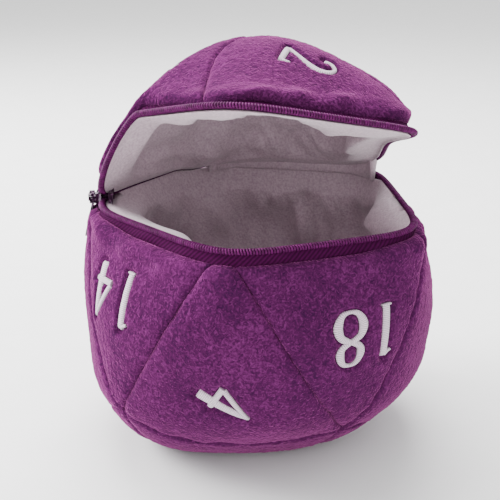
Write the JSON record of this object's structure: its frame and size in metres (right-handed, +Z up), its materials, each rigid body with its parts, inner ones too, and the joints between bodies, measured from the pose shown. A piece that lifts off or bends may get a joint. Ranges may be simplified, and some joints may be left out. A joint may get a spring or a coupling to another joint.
{
  "type": "plush dice bag",
  "caption": "Soft padded ball-shaped dice bag sewn from triangular plush panels, with a zipped lid that folds back on a fabric hinge to open its lined inside.",
  "frame": {"origin": "centre of the flat base, on the surface it stands on", "axes": "+Z up; -Y is the front, towards the middle corner of the mouth; the lid hinges along X at +Y"},
  "size_m": [0.14, 0.1407, 0.1562],
  "materials": {
    "plush": "short pile",
    "embroidery": "satin stitch",
    "padding": "soft foam",
    "lining": "woven",
    "zip_tape": "woven",
    "zip_coil": "satin",
    "zip_metal": "satin"
  },
  "bodies": {
    "body": {"side_panel_18": "plush", "side_panel_15": "plush", "side_panel_17": "plush", "side_panel_16": "plush", "side_panel_14": "plush", "side_panel_4": "plush", "side_panel_5": "plush", "side_panel_7": "plush", "side_panel_3": "plush", "side_panel_6": "plush", "base_panel_11": "plush", "base_panel_13": "plush", "base_panel_1": "plush", "base_panel_19": "plush", "base_panel_9": "plush", "number_18": "embroidery", "number_15": "embroidery", "number_17": "embroidery", "number_16": "embroidery", "number_14": "embroidery", "number_4": "embroidery", "number_5": "embroidery", "number_7": "embroidery", "number_3": "embroidery", "number_6": "embroidery", "number_11": "embroidery", "number_13": "embroidery", "number_1": "embroidery", "number_19": "embroidery", "number_9": "embroidery", "body_padding": "padding", "body_lining": "lining", "zip_tape_lower": "zip_tape", "zip_coil_lower": "zip_coil", "hinge_seam": "plush", "zip_stop_left": "zip_metal", "zip_stop_right": "zip_metal"},
    "lid": {"lid_panel_2": "plush", "lid_panel_12": "plush", "lid_panel_10": "plush", "lid_panel_8": "plush", "lid_panel_20": "plush", "number_2": "embroidery", "number_12": "embroidery", "number_10": "embroidery", "number_8": "embroidery", "number_20": "embroidery", "lid_padding": "padding", "lid_lining": "lining", "zip_tape_upper": "zip_tape", "zip_coil_upper": "zip_coil"},
    "slider": {"zip_slider": "zip_metal"},
    "pull": {"zip_pull": "zip_metal"}
  },
  "joints": [
    {"name": "lid_hinge", "type": "hinge", "parent": "body", "child": "lid", "pos_m": [0, 0.05502, 0.0968], "axis": [-1, 0, 0], "range_deg": [-22.5, 17.5]},
    {"name": "slider_travel", "type": "hinge", "parent": "body", "child": "slider", "pos_m": [0, 0, 0.0968], "axis": [0, 0, 1], "range_deg": [-58, 210]},
    {"name": "pull_swing", "type": "hinge", "parent": "slider", "child": "pull", "pos_m": [-0.0629, -0.01568, 0.0968], "axis": [-0.2419, 0.9703, 0], "range_deg": [0, 130]}
  ]
}
